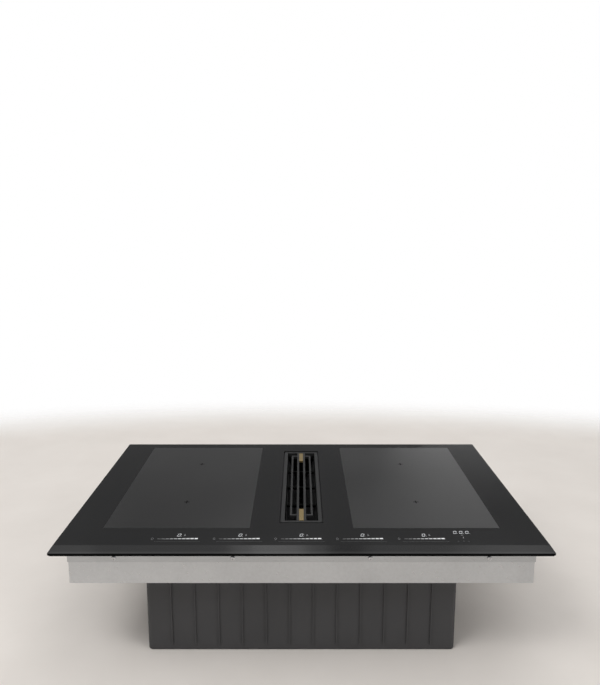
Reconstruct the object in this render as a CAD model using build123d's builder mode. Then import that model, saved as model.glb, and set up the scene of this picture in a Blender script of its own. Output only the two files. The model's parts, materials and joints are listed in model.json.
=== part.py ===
from build123d import *
import math
import os

os.makedirs("parts", exist_ok=True)

# ---------------------------------------------------------------------------
# Downdraft induction cooktop.
# Frame: millimetres, +Z up, x to the right, y to the back. The origin is under
# the centre of the glass plate, at the level of the underside of the air box.
# ---------------------------------------------------------------------------

# driving dimensions: glass plate
PLATE_W = 800.0  # width along x
PLATE_D = 520.0  # depth along y
GLASS_TOP = 210.0  # height of the glass surface above the base
GLASS_T = 4.0  # glass thickness
FACET_D = 26.3  # depth of the ground facet along the front edge
FACET_DROP = 1.1  # how far the facet falls to the front
GLASS_BOTTOM = GLASS_TOP - GLASS_T

# vent opening in the glass, centred on VENT_Y
VENT_Y = 30.45
CUT_W = 76.4
CUT_L = 366.8

# grille
FRAME_W = 73.2  # outer width of the trim frame
FRAME_L = 356.2  # outer length
FRAME_IN_W = 59.0
FRAME_IN_L = 343.9
FRAME_TOP = GLASS_TOP - 1.0
BAR_IN, BAR_OUT = 4.2, 8.4  # the two central bars, distance from the middle plane
LOOP_IN, LOOP_OUT = 16.9, 20.5  # the outer loop
LOOP_FRONT, LOOP_BACK = -120.6, 186.0  # ends of the loop
LOOP_END = 5.3  # width of the loop's cross pieces
BAR_BOTTOM = 203.0
GRIP_L = 46.6  # length of a grip block

# vent shaft
SHAFT_W = 69.0  # upper, wide stretch
SHAFT_L = 349.0
THROAT_W = 64.0  # lower, narrow stretch
THROAT_L = 341.0
SHAFT_WALL_W = 73.0  # outside of the collar
SHAFT_WALL_L = 353.0
SHELF_Z = 195.0  # shelf that carries the grease filter
COLLAR_Z = 138.0  # lower end of the collar
FLANGE_Z = 202.7
FLANGE_T = 2.5
LIFT_GAP = 0.3  # gap under the parts that lift out

# grease filter
RIB_TOP = GLASS_TOP - 10.5
RIB_Y = (VENT_Y - 84.25, VENT_Y, VENT_Y + 84.25)

# induction tray
TRAY_W = 748.8
TRAY_D = 484.8
TRAY_Z = 149.0
TRAY_TOP = 200.0
SHEET = 1.2
FLOOR = TRAY_Z + SHEET
PLATE_Z = 172.0
BOARD_Z = 157.2

# cooking zones: coil centres
COIL_X = 212.5
COIL_Y = (-64.0, 133.0)
COIL_W, COIL_D = 232.0, 188.0

# cooling fans of the electronics
FAN_X, FAN_Y = 300.0, -100.0

# air box
BOX_X = 262.0
BOX_Y0, BOX_Y1 = -200.0, 236.0
BOX_T = 1.5
BOX_TOP = 147.5
POSTS = [(x, y) for x in (-252.0, 252.0) for y in (-188.0, 18.0, 224.0)]

# blower
BLOW_X, BLOW_Y = 138.0, 8.0
SCROLL_Z0, SCROLL_Z1 = 10.0, 101.0
SCROLL_T = 2.0
IMP_R = 68.0

# outlet
OUT_W, OUT_H = 222.0, 89.0
OUT_X = 128.0
OUT_Z = 56.0


# ---------------------------------------------------------------------------
# Glass plate and its rim
# ---------------------------------------------------------------------------

# glass plate with the falling front facet and the vent cut-out
with BuildPart() as glass_top:
    with BuildSketch(Plane.YZ.offset(-PLATE_W / 2)):
        with BuildLine():
            Polyline(
                (-PLATE_D / 2, GLASS_BOTTOM),
                (-PLATE_D / 2, GLASS_TOP - FACET_DROP),
                (-PLATE_D / 2 + FACET_D, GLASS_TOP),
                (PLATE_D / 2, GLASS_TOP),
                (PLATE_D / 2, GLASS_BOTTOM),
                close=True,
            )
        make_face()
    extrude(amount=PLATE_W)
    with BuildSketch(Plane.XY.offset(GLASS_BOTTOM - 1)):
        with Locations((0, VENT_Y)):
            RectangleRounded(CUT_W, CUT_L, 3.0)
    extrude(amount=GLASS_T + 2, mode=Mode.SUBTRACT)
    corners = glass_top.edges().filter_by(Axis.Z).filter_by_position(
        Axis.X, -PLATE_W / 2 + 10, PLATE_W / 2 - 10
    )
    fillet(
        [e for e in glass_top.edges().filter_by(Axis.Z) if e not in corners],
        radius=1.6,
    )
glass_top.part.label = "glass_top"
export_step(glass_top.part, "parts/glass_top.step")

# foam seal between the glass rim and the worktop
with BuildPart() as glass_edge_seal:
    with BuildSketch(Plane.XY.offset(GLASS_BOTTOM - 2.0)):
        RectangleRounded(797, 517, 2)
        RectangleRounded(777, 497, 3, mode=Mode.SUBTRACT)
    extrude(amount=2.0)
glass_edge_seal.part.label = "glass_edge_seal"
export_step(glass_edge_seal.part, "parts/glass_edge_seal.step")

# carrier frame bonded under the glass: flat flange with a turned-down leg
with BuildPart() as glass_carrier_frame:
    with BuildSketch(Plane.XY.offset(GLASS_BOTTOM - SHEET)):
        RectangleRounded(752, 488, 4)
        RectangleRounded(716, 464, 4, mode=Mode.SUBTRACT)
    extrude(amount=SHEET)
    with BuildSketch(Plane.XY.offset(186)):
        RectangleRounded(752, 488, 4)
        RectangleRounded(752 - 2 * SHEET, 488 - 2 * SHEET, 3, mode=Mode.SUBTRACT)
    extrude(amount=GLASS_BOTTOM - 186)
    # clearance holes for the frame screws, through the legs at the sides
    with BuildSketch(Plane.YZ.offset(-380)):
        with Locations((-190, 193), (0, 193), (190, 193)):
            Circle(2.25)
    extrude(amount=760, mode=Mode.SUBTRACT)
    with BuildSketch(Plane.XZ.offset(-250)):
        with Locations((-300, 193), (-110, 193), (110, 193), (300, 193)):
            Circle(2.25)
    extrude(amount=500, mode=Mode.SUBTRACT)
glass_carrier_frame.part.label = "glass_carrier_frame"
export_step(glass_carrier_frame.part, "parts/glass_carrier_frame.step")

# ---------------------------------------------------------------------------
# Vent: collar, grille and grease filter
# ---------------------------------------------------------------------------

# collar: flange under the glass, shaft wall, shelf for the filter
with BuildPart() as vent_collar:
    with BuildSketch(Plane.XY.offset(FLANGE_Z)):
        with Locations((0, VENT_Y)):
            RectangleRounded(104, 393, 6)
    extrude(amount=FLANGE_T)
    with BuildSketch(Plane.XY.offset(COLLAR_Z)):
        with Locations((0, VENT_Y)):
            RectangleRounded(SHAFT_WALL_W, SHAFT_WALL_L, 4)
    extrude(amount=FLANGE_Z - COLLAR_Z)
    with BuildSketch(Plane.XY.offset(SHELF_Z)):
        with Locations((0, VENT_Y)):
            RectangleRounded(SHAFT_W, SHAFT_L, 2.5)
    extrude(amount=20, mode=Mode.SUBTRACT)
    with BuildSketch(Plane.XY.offset(COLLAR_Z - 1)):
        with Locations((0, VENT_Y)):
            RectangleRounded(THROAT_W, THROAT_L, 2)
    extrude(amount=80, mode=Mode.SUBTRACT)
vent_collar.part.label = "vent_collar"
export_step(vent_collar.part, "parts/vent_collar.step")

# sealing bead between the collar flange and the glass
with BuildPart() as vent_gasket:
    with BuildSketch(Plane.XY.offset(FLANGE_Z + FLANGE_T)):
        with Locations((0, VENT_Y)):
            RectangleRounded(98, 387, 5)
            RectangleRounded(88, 377, 4, mode=Mode.SUBTRACT)
    extrude(amount=GLASS_BOTTOM - FLANGE_Z - FLANGE_T)
vent_gasket.part.label = "vent_gasket"
export_step(vent_gasket.part, "parts/vent_gasket.step")

# trim frame of the grille, lying on the collar
with BuildPart() as grille_frame:
    with BuildSketch(Plane.XY.offset(FLANGE_Z + FLANGE_T + LIFT_GAP)):
        with Locations((0, VENT_Y)):
            RectangleRounded(FRAME_W, FRAME_L, 3.0)
    extrude(amount=FRAME_TOP - FLANGE_Z - FLANGE_T - LIFT_GAP)
    # locating skirt that reaches into the shaft
    with BuildSketch(Plane.XY.offset(201.2)):
        with Locations((0, VENT_Y)):
            RectangleRounded(SHAFT_W - 1.6, SHAFT_L - 1.6, 2)
    extrude(amount=FLANGE_Z + FLANGE_T + LIFT_GAP - 201.2)
    with BuildSketch(Plane.XY.offset(200)):
        with Locations((0, VENT_Y)):
            RectangleRounded(FRAME_IN_W, FRAME_IN_L, 1.5)
    extrude(amount=12, mode=Mode.SUBTRACT)
    fillet(grille_frame.faces().sort_by(Axis.Z)[-1].edges(), radius=0.7)
grille_frame.part.label = "grille_frame"
export_step(grille_frame.part, "parts/grille_frame.step")

# bars of the grille: two long central bars and a loop around them
Y_LO = VENT_Y - FRAME_IN_L / 2
Y_HI = VENT_Y + FRAME_IN_L / 2
with BuildPart() as grille_bars:
    with BuildSketch(Plane.XY.offset(BAR_BOTTOM)):
        for side in (-1, 1):
            with Locations((side * (BAR_IN + BAR_OUT) / 2, VENT_Y)):
                Rectangle(BAR_OUT - BAR_IN, FRAME_IN_L)
            with Locations(
                (side * (LOOP_IN + LOOP_OUT) / 2, (LOOP_FRONT + LOOP_BACK) / 2)
            ):
                Rectangle(LOOP_OUT - LOOP_IN, LOOP_BACK - LOOP_FRONT)
            for y in (LOOP_FRONT + LOOP_END / 2, LOOP_BACK - LOOP_END / 2):
                with Locations((side * (BAR_IN + LOOP_OUT) / 2, y)):
                    Rectangle(LOOP_OUT - BAR_IN, LOOP_END)
    extrude(amount=FRAME_TOP - BAR_BOTTOM)
    fillet(grille_bars.faces().filter_by(Plane.XY).group_by(Axis.Z)[-1].edges(), radius=0.5)
    # low webs that tie the two halves together under the grip blocks
    with BuildSketch(Plane.XY.offset(BAR_BOTTOM)):
        for y in (LOOP_FRONT + LOOP_END / 2, LOOP_BACK - LOOP_END / 2):
            with Locations((0, y)):
                Rectangle(2 * BAR_IN, LOOP_END)
    extrude(amount=1.4)
grille_bars.part.label = "grille_bars"
export_step(grille_bars.part, "parts/grille_bars.step")

# grip blocks between the central bars, by which the grille is lifted out
with BuildPart() as grille_grip_front:
    with BuildSketch(Plane.XY.offset(BAR_BOTTOM + 1.4)):
        with Locations((0, -139.2 + GRIP_L / 2)):
            Rectangle(2 * BAR_IN, GRIP_L)
    extrude(amount=4.3)
    fillet(grille_grip_front.faces().sort_by(Axis.Z)[-1].edges(), radius=0.5)
grille_grip_front.part.label = "grille_grip_front"
export_step(grille_grip_front.part, "parts/grille_grip_front.step")

with BuildPart() as grille_grip_back:
    with BuildSketch(Plane.XY.offset(BAR_BOTTOM + 1.4)):
        with Locations((0, 201.5 - GRIP_L / 2)):
            Rectangle(2 * BAR_IN, GRIP_L)
    extrude(amount=4.3)
    fillet(grille_grip_back.faces().sort_by(Axis.Z)[-1].edges(), radius=0.5)
grille_grip_back.part.label = "grille_grip_back"
export_step(grille_grip_back.part, "parts/grille_grip_back.step")

# grease filter cassette: flange, side walls, cross ribs and a bottom channel
with BuildPart() as filter_frame:
    with BuildSketch(Plane.XY.offset(SHELF_Z + LIFT_GAP)):
        with Locations((0, VENT_Y)):
            RectangleRounded(68, 348, 2)
            RectangleRounded(54, 330, 2, mode=Mode.SUBTRACT)
    extrude(amount=RIB_TOP - SHELF_Z - LIFT_GAP)
    with BuildSketch(Plane.XY.offset(128)):
        with Locations((0, VENT_Y)):
            Rectangle(62.6, 339)
            Rectangle(60, 336, mode=Mode.SUBTRACT)
    extrude(amount=SHELF_Z + LIFT_GAP - 128)
    with BuildSketch(Plane.XY.offset(SHELF_Z + LIFT_GAP)):
        for y in RIB_Y:
            with Locations((0, y)):
                Rectangle(54, 7)
    extrude(amount=RIB_TOP - SHELF_Z - LIFT_GAP)
    with BuildSketch(Plane.XY.offset(128)):
        with Locations((0, VENT_Y)):
            Rectangle(20, 338)
    extrude(amount=2.4)
    with BuildSketch(Plane.XY.offset(127)):
        with Locations((0, VENT_Y)):
            with GridLocations(30, 30, 1, 11):
                Rectangle(4, 20)
    extrude(amount=5, mode=Mode.SUBTRACT)
filter_frame.part.label = "filter_frame"
export_step(filter_frame.part, "parts/filter_frame.step")

# mesh panels of the filter, leaning towards each other
with BuildPart() as filter_mesh_left:
    with BuildSketch(Plane.XZ.offset(-(VENT_Y + 167.6))):
        with BuildLine():
            Polyline((-30, 192), (-26.4, 192), (-4.8, 130.4), (-8.4, 130.4), close=True)
        make_face()
    extrude(amount=335.2)
filter_mesh_left.part.label = "filter_mesh_left"
export_step(filter_mesh_left.part, "parts/filter_mesh_left.step")

with BuildPart() as filter_mesh_right:
    with BuildSketch(Plane.XZ.offset(-(VENT_Y + 167.6))):
        with BuildLine():
            Polyline((30, 192), (26.4, 192), (4.8, 130.4), (8.4, 130.4), close=True)
        make_face()
    extrude(amount=335.2)
filter_mesh_right.part.label = "filter_mesh_right"
export_step(filter_mesh_right.part, "parts/filter_mesh_right.step")

# overflow tray under the filter, which lifts out through the shaft
with BuildPart() as overflow_tray:
    with BuildSketch(Plane.XY.offset(BOX_T + 0.5)):
        with Locations((0, VENT_Y)):
            RectangleRounded(60, 335, 8)
    extrude(amount=42)
    with BuildSketch(Plane.XY.offset(BOX_T + 2.5)):
        with Locations((0, VENT_Y)):
            RectangleRounded(56, 331, 6)
    extrude(amount=45, mode=Mode.SUBTRACT)
    # grip bridge across the middle of the tray
    with BuildSketch(Plane.XY.offset(38)):
        with Locations((0, VENT_Y)):
            Rectangle(57, 14)
    extrude(amount=3)
overflow_tray.part.label = "overflow_tray"
export_step(overflow_tray.part, "parts/overflow_tray.step")

# ---------------------------------------------------------------------------
# Induction tray and what it carries
# ---------------------------------------------------------------------------

# folded sheet tray with the shaft hole and the slots for cooling air
with BuildPart() as induction_tray:
    with BuildSketch(Plane.XY.offset(TRAY_Z)):
        RectangleRounded(TRAY_W, TRAY_D, 3)
    extrude(amount=TRAY_TOP - TRAY_Z)
    with BuildSketch(Plane.XY.offset(TRAY_Z + SHEET)):
        RectangleRounded(TRAY_W - 2 * SHEET, TRAY_D - 2 * SHEET, 2)
    extrude(amount=80, mode=Mode.SUBTRACT)
    with BuildSketch(Plane.XY.offset(TRAY_Z - 1)):
        with Locations((0, VENT_Y)):
            RectangleRounded(SHAFT_WALL_W + 1, SHAFT_WALL_L + 1, 4)
        # air inlets below the two cooling fans
        for x in (-FAN_X, FAN_X):
            with Locations((x, FAN_Y)):
                with GridLocations(9, 0, 8, 1):
                    SlotOverall(58, 4, rotation=90)
        # holes over which the air box lid is screwed
        for x, y in POSTS:
            with Locations((x, y)):
                Circle(2.25)
    extrude(amount=4, mode=Mode.SUBTRACT)
    # exhaust slots for the cooling air in both side walls
    with BuildSketch(Plane.YZ.offset(-380)):
        for y in (-150, 60):
            with Locations((y, 172)):
                with GridLocations(9, 0, 9, 1):
                    SlotOverall(18, 4, rotation=90)
    extrude(amount=760, mode=Mode.SUBTRACT)
    # screw holes of the carrier frame
    with BuildSketch(Plane.YZ.offset(-380)):
        with Locations((-190, 193), (0, 193), (190, 193)):
            Circle(2.05)
    extrude(amount=760, mode=Mode.SUBTRACT)
    with BuildSketch(Plane.XZ.offset(-250)):
        with Locations((-300, 193), (-110, 193), (110, 193), (300, 193)):
            Circle(2.05)
    extrude(amount=500, mode=Mode.SUBTRACT)
    # hole of the cable gland in the back wall
    with BuildSketch(Plane.XZ.offset(-250)):
        with Locations((-356, 170)):
            Circle(10.2)
    extrude(amount=20, mode=Mode.SUBTRACT)
induction_tray.part.label = "induction_tray"
export_step(induction_tray.part, "parts/induction_tray.step")

# screws that hold the carrier frame on the tray
with BuildPart() as frame_screws:
    for y in (-190, 0, 190):
        for side in (-1, 1):
            x_dir = Plane(origin=(side * 376, y, 193), z_dir=(side, 0, 0))
            with BuildSketch(x_dir):
                Circle(3.6)
            extrude(amount=2.0)
            with BuildSketch(x_dir):
                Circle(2.0)
            extrude(amount=-7)
    for x in (-300, -110, 110, 300):
        for side in (-1, 1):
            y_dir = Plane(origin=(x, side * 244, 193), z_dir=(0, side, 0))
            with BuildSketch(y_dir):
                Circle(3.6)
            extrude(amount=2.0)
            with BuildSketch(y_dir):
                Circle(2.0)
            extrude(amount=-7)
frame_screws.part.label = "frame_screws"
export_step(frame_screws.part, "parts/frame_screws.step")

# worktop clamps: brackets on the tray side walls with a bent claw
CLAMP_Y = (-110.0, 160.0)
with BuildPart() as worktop_clamps:
    for side in (-1, 1):
        for y in CLAMP_Y:
            with BuildSketch(Plane.XZ.offset(-(y + 10))):
                with BuildLine():
                    Polyline(
                        (side * 374.4, 152),
                        (side * 376.2, 152),
                        (side * 376.2, 156.2),
                        (side * 389.0, 156.2),
                        (side * 389.0, 166.0),
                        (side * 387.2, 166.0),
                        (side * 387.2, 158.0),
                        (side * 376.2, 158.0),
                        (side * 376.2, 184.0),
                        (side * 374.4, 184.0),
                        close=True,
                    )
                make_face()
            extrude(amount=20)
    # screw holes in the brackets, upright part
    for y in CLAMP_Y:
        with BuildSketch(Plane.YZ.offset(-400)):
            with Locations((y, 178)):
                Circle(2.1)
        extrude(amount=800, mode=Mode.SUBTRACT)
worktop_clamps.part.label = "worktop_clamps"
export_step(worktop_clamps.part, "parts/worktop_clamps.step")

with BuildPart() as clamp_screws:
    for side in (-1, 1):
        for y in CLAMP_Y:
            x_dir = Plane(origin=(side * 376.2, y, 178), z_dir=(side, 0, 0))
            with BuildSketch(x_dir):
                Circle(3.6)
            extrude(amount=2.2)
            with BuildSketch(x_dir):
                Circle(2.05)
            extrude(amount=-1.8)
clamp_screws.part.label = "clamp_screws"
export_step(clamp_screws.part, "parts/clamp_screws.step")

# aluminium base plates under the coils
with BuildPart() as coil_base_plates:
    with BuildSketch(Plane.XY.offset(PLATE_Z)):
        for sx in (-1, 1):
            with Locations((sx * COIL_X, 34.5)):
                RectangleRounded(250, 402, 5)
            for y in COIL_Y:
                with Locations((sx * COIL_X, y)):
                    Circle(12, mode=Mode.SUBTRACT)
            with Locations((sx * COIL_X, 34.5)):
                with GridLocations(234, 386, 2, 2):
                    Circle(2.2, mode=Mode.SUBTRACT)
                with GridLocations(180, 370, 2, 2):
                    SlotOverall(30, 8, mode=Mode.SUBTRACT)
    extrude(amount=1.5)
coil_base_plates.part.label = "coil_base_plates"
export_step(coil_base_plates.part, "parts/coil_base_plates.step")

# coil carriers: flat plastic plates with a centre hole, all four in one node
CARRIER_Z = 196.0
with BuildPart() as coil_carriers:
    with BuildSketch(Plane.XY.offset(CARRIER_Z)):
        for sx in (-1, 1):
            for y in COIL_Y:
                with Locations((sx * COIL_X, y)):
                    RectangleRounded(COIL_W, COIL_D, 24)
                    Circle(11, mode=Mode.SUBTRACT)
    extrude(amount=2.5)
coil_carriers.part.label = "coil_carriers"
export_step(coil_carriers.part, "parts/coil_carriers.step")

# litz windings on the carriers: six rounded turns each, tied by a cross strip
for row, y in (("front", COIL_Y[0]), ("back", COIL_Y[1])):
    for name, sx in (("left", -1), ("right", 1)):
        with BuildPart() as coil_winding:
            with BuildSketch(Plane.XY.offset(CARRIER_Z + 2.5)):
                with Locations((sx * COIL_X, y)):
                    for k in range(7):
                        w = COIL_W - 6 - k * 24
                        d = COIL_D - 6 - k * 24
                        r = max(26 - k * 2.4, 9.0)
                        RectangleRounded(w, d, r)
                        RectangleRounded(w - 16, d - 16, max(r - 8, 3.0), mode=Mode.SUBTRACT)
            extrude(amount=4.6)
            # bridges between the turns, low on the carrier
            with BuildSketch(Plane.XY.offset(CARRIER_Z + 2.5)):
                with Locations((sx * COIL_X, y)):
                    Rectangle(3, COIL_D - 12)
                    Rectangle(24, 20, mode=Mode.SUBTRACT)
            extrude(amount=1.2)
        coil_winding.part.label = "coil_winding_" + row + "_" + name
        export_step(
            coil_winding.part, "parts/coil_winding_" + row + "_" + name + ".step"
        )

# ferrite bars under the carriers, arranged as a star under each coil
with BuildPart() as coil_ferrites:
    with BuildSketch(Plane.XY.offset(CARRIER_Z - 4)):
        for sx in (-1, 1):
            for y in COIL_Y:
                with Locations((sx * COIL_X, y)):
                    with PolarLocations(50, 8):
                        Rectangle(56, 13)
    extrude(amount=4)
coil_ferrites.part.label = "coil_ferrites"
export_step(coil_ferrites.part, "parts/coil_ferrites.step")

# insulating mica sheets between the coils and the glass
with BuildPart() as mica_sheets:
    with BuildSketch(Plane.XY.offset(CARRIER_Z + 7.4)):
        for sx in (-1, 1):
            with Locations((sx * COIL_X, 34.5)):
                Rectangle(246, 400)
            for y in COIL_Y:
                with Locations((sx * COIL_X, y)):
                    Circle(8, mode=Mode.SUBTRACT)
    extrude(amount=0.8)
mica_sheets.part.label = "mica_sheets"
export_step(mica_sheets.part, "parts/mica_sheets.step")

# temperature sensors in the coil centres: stem, head against the glass
with BuildPart() as temperature_sensors:
    with BuildSketch(Plane.XY.offset(CARRIER_Z - 6)):
        for sx in (-1, 1):
            for y in COIL_Y:
                with Locations((sx * COIL_X, y)):
                    Circle(9)
    extrude(amount=2)
    with BuildSketch(Plane.XY.offset(CARRIER_Z - 4)):
        for sx in (-1, 1):
            for y in COIL_Y:
                with Locations((sx * COIL_X, y)):
                    Circle(5)
    extrude(amount=GLASS_BOTTOM - CARRIER_Z + 4)
temperature_sensors.part.label = "temperature_sensors"
export_step(temperature_sensors.part, "parts/temperature_sensors.step")

# leaf springs that press the carriers up towards the glass
SPRING_T = 0.8
with BuildPart() as coil_springs:
    for sx in (-1, 1):
        for y in COIL_Y:
            for dy in (-86, 86):
                with BuildSketch(Plane.XZ.offset(-(y + dy + 6))):
                    with BuildLine():
                        low = PLATE_Z + 1.5
                        x = sx * COIL_X
                        Polyline(
                            (x - 45, low),
                            (x - 30, low),
                            (x - 8, CARRIER_Z - SPRING_T),
                            (x + 8, CARRIER_Z - SPRING_T),
                            (x + 30, low),
                            (x + 45, low),
                            (x + 45, low + SPRING_T),
                            (x + 30.6, low + SPRING_T),
                            (x + 8.6, CARRIER_Z),
                            (x - 8.6, CARRIER_Z),
                            (x - 30.6, low + SPRING_T),
                            (x - 45, low + SPRING_T),
                            close=True,
                        )
                    make_face()
                extrude(amount=12)
coil_springs.part.label = "coil_springs"
export_step(coil_springs.part, "parts/coil_springs.step")

# ---------------------------------------------------------------------------
# Electronics in the tray
# ---------------------------------------------------------------------------

# power boards with their transformers, relays and connectors
for name, sx in (("left", -1), ("right", 1)):
    with BuildPart() as power_board:
        with BuildSketch(Plane.XY.offset(BOARD_Z)):
            with Locations((sx * 212, 80)):
                RectangleRounded(210, 230, 3)
                with GridLocations(196, 216, 2, 2):
                    Circle(1.7, mode=Mode.SUBTRACT)
        extrude(amount=1.6)
        with BuildSketch(Plane.XY.offset(BOARD_Z + 1.6)):
            with Locations((sx * 150, 140), (sx * 150, 100)):
                RectangleRounded(26, 22, 1)
            with Locations((sx * 190, 165), (sx * 215, 165), (sx * 240, 165)):
                Rectangle(14, 18)
            with Locations((sx * 112, -10), (sx * 112, 100)):
                Rectangle(8, 30)
            with Locations((sx * 150, 10), (sx * 150, 40)):
                Circle(12)
        extrude(amount=10)
    power_board.part.label = "power_board_" + name
    export_step(power_board.part, "parts/power_board_" + name + ".step")

# finned heat sinks on the boards
with BuildPart() as heat_sinks:
    with BuildSketch(Plane.XZ.offset(-140)):
        for sx in (-1, 1):
            with Locations((sx * 245, BOARD_Z + 3.1)):
                Rectangle(60, 3)
            with Locations((sx * 245, BOARD_Z + 8.6)):
                with GridLocations(5.8, 0, 11, 1):
                    Rectangle(1.6, 8)
    extrude(amount=150)
heat_sinks.part.label = "heat_sinks"
export_step(heat_sinks.part, "parts/heat_sinks.step")

# hexagonal standoffs with their screws: under the coil plates and the boards
with BuildPart() as standoffs:
    with BuildSketch(Plane.XY.offset(FLOOR)):
        for sx in (-1, 1):
            with Locations((sx * COIL_X, 34.5)):
                with GridLocations(234, 386, 2, 2):
                    RegularPolygon(3.6, 6)
    extrude(amount=PLATE_Z - FLOOR)
    with BuildSketch(Plane.XY.offset(PLATE_Z)):
        for sx in (-1, 1):
            with Locations((sx * COIL_X, 34.5)):
                with GridLocations(234, 386, 2, 2):
                    Circle(2.1)
    extrude(amount=4.5)
    with BuildSketch(Plane.XY.offset(FLOOR)):
        for sx in (-1, 1):
            with Locations((sx * 212, 80)):
                with GridLocations(196, 216, 2, 2):
                    RegularPolygon(3.4, 6)
    extrude(amount=BOARD_Z - FLOOR)
    with BuildSketch(Plane.XY.offset(BOARD_Z)):
        for sx in (-1, 1):
            with Locations((sx * 212, 80)):
                with GridLocations(196, 216, 2, 2):
                    Circle(1.6)
    extrude(amount=2.6)
    with BuildSketch(Plane.XY.offset(BOARD_Z + 1.6)):
        for sx in (-1, 1):
            with Locations((sx * 212, 80)):
                with GridLocations(196, 216, 2, 2):
                    Circle(3)
    extrude(amount=1.6)
standoffs.part.label = "standoffs"
export_step(standoffs.part, "parts/standoffs.step")

# electrolytic and film capacitors of the power boards
with BuildPart() as capacitors:
    for sx in (-1, 1):
        for x, y in ((195, -15), (195, 15), (195, 45)):
            with BuildSketch(Plane(origin=(sx * x - 12, y, BOARD_Z + 8.2), z_dir=(1, 0, 0))):
                Circle(6.5)
            extrude(amount=24)
capacitors.part.label = "capacitors"
export_step(capacitors.part, "parts/capacitors.step")

# housings of the two radial cooling fans, each with an axle for its rotor
with BuildPart() as cooling_fan_housings:
    for sx in (-1, 1):
        with BuildSketch(Plane.XY.offset(FLOOR)):
            with Locations((sx * FAN_X, FAN_Y)):
                RectangleRounded(84, 84, 8)
        extrude(amount=16)
        with BuildSketch(Plane.XY.offset(FLOOR + 1.4)):
            with Locations((sx * FAN_X, FAN_Y)):
                Circle(39)
        extrude(amount=20, mode=Mode.SUBTRACT)
        # air inlet in the bottom, with three arms to the axle
        with BuildSketch(Plane.XY.offset(FLOOR - 1)):
            with Locations((sx * FAN_X, FAN_Y)):
                Circle(32)
        extrude(amount=4, mode=Mode.SUBTRACT)
        with BuildSketch(Plane.XY.offset(FLOOR)):
            with Locations((sx * FAN_X, FAN_Y)):
                Circle(12)
                with PolarLocations(22, 3):
                    Rectangle(26, 5)
        extrude(amount=1.4)
        with BuildSketch(Plane.XY.offset(FLOOR + 1.4)):
            with Locations((sx * FAN_X, FAN_Y)):
                Circle(2)
        extrude(amount=11)
        # air outlet towards the board
        with BuildSketch(Plane.XY.offset(FLOOR + 2.4)):
            with Locations((sx * FAN_X - sx * 6, FAN_Y + 36)):
                Rectangle(56, 20)
        extrude(amount=11.5, mode=Mode.SUBTRACT)
cooling_fan_housings.part.label = "cooling_fan_housings"
export_step(cooling_fan_housings.part, "parts/cooling_fan_housings.step")

# rotors of the cooling fans
for name, sx in (("left", -1), ("right", 1)):
    with BuildPart() as fan_rotor:
        with BuildSketch(Plane.XY.offset(FLOOR + 2.2)):
            with Locations((sx * FAN_X, FAN_Y)):
                Circle(13)
                with PolarLocations(23, 11):
                    Rectangle(26, 1.4, rotation=24)
        extrude(amount=10.6)
        with BuildSketch(Plane.XY.offset(FLOOR + 2.2)):
            with Locations((sx * FAN_X, FAN_Y)):
                Circle(35)
                Circle(33, mode=Mode.SUBTRACT)
        extrude(amount=1.2)
        with BuildSketch(Plane.XY.offset(FLOOR)):
            with Locations((sx * FAN_X, FAN_Y)):
                Circle(2.05)
        extrude(amount=12.6, mode=Mode.SUBTRACT)
        # dished hub top
        with BuildSketch(Plane.XY.offset(FLOOR + 12.8)):
            with Locations((sx * FAN_X, FAN_Y)):
                Circle(13)
        extrude(amount=1.2)
    fan_rotor.part.label = "cooling_fan_rotor_" + name
    export_step(fan_rotor.part, "parts/cooling_fan_rotor_" + name + ".step")

# mains filter board and terminal block at the back left
with BuildPart() as mains_filter_board:
    with BuildSketch(Plane.XY.offset(BOARD_Z)):
        with Locations((-347, 90)):
            RectangleRounded(44, 140, 2)
    extrude(amount=1.6)
    with BuildSketch(Plane.XY.offset(FLOOR)):
        with Locations((-347, 90)):
            with GridLocations(34, 128, 2, 2):
                Circle(3)
    extrude(amount=BOARD_Z - FLOOR)
    with BuildSketch(Plane.XY.offset(BOARD_Z + 1.6)):
        with Locations((-352, 50)):
            Circle(12)
            Circle(5, mode=Mode.SUBTRACT)
        with Locations((-347, 90), (-347, 125)):
            Rectangle(30, 14)
    extrude(amount=12)
mains_filter_board.part.label = "mains_filter_board"
export_step(mains_filter_board.part, "parts/mains_filter_board.step")

with BuildPart() as terminal_block:
    with BuildSketch(Plane.XY.offset(FLOOR)):
        with Locations((-350, 200)):
            Rectangle(40, 26)
    extrude(amount=12)
    with BuildSketch(Plane.XY.offset(FLOOR + 12)):
        with Locations((-350, 200)):
            with GridLocations(9.4, 0, 5, 1):
                Rectangle(1.6, 26)
    extrude(amount=8)
    with BuildSketch(Plane.XY.offset(FLOOR + 12)):
        with Locations((-350, 200)):
            with GridLocations(9.4, 12, 4, 2):
                Circle(2.8)
    extrude(amount=2)
terminal_block.part.label = "terminal_block"
export_step(terminal_block.part, "parts/terminal_block.step")

# cable gland in the back wall, with its nut inside
GLAND_X, GLAND_Z = -356.0, 170.0
with BuildPart() as cable_gland:
    with BuildSketch(Plane.XZ.offset(-TRAY_D / 2)):
        with Locations((GLAND_X, GLAND_Z)):
            RegularPolygon(14, 6)
    extrude(amount=-5)
    with BuildSketch(Plane.XZ.offset(-(TRAY_D / 2 + 5))):
        with Locations((GLAND_X, GLAND_Z)):
            Circle(12)
    extrude(amount=-8)
    fillet(cable_gland.faces().sort_by(Axis.Y)[-1].edges(), radius=2.5)
    with BuildSketch(Plane.XZ.offset(-TRAY_D / 2)):
        with Locations((GLAND_X, GLAND_Z)):
            Circle(10)
    extrude(amount=9)
    with BuildSketch(Plane.XZ.offset(-260)):
        with Locations((GLAND_X, GLAND_Z)):
            Circle(6.5)
    extrude(amount=40, mode=Mode.SUBTRACT)
cable_gland.part.label = "cable_gland"
export_step(cable_gland.part, "parts/cable_gland.step")

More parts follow.
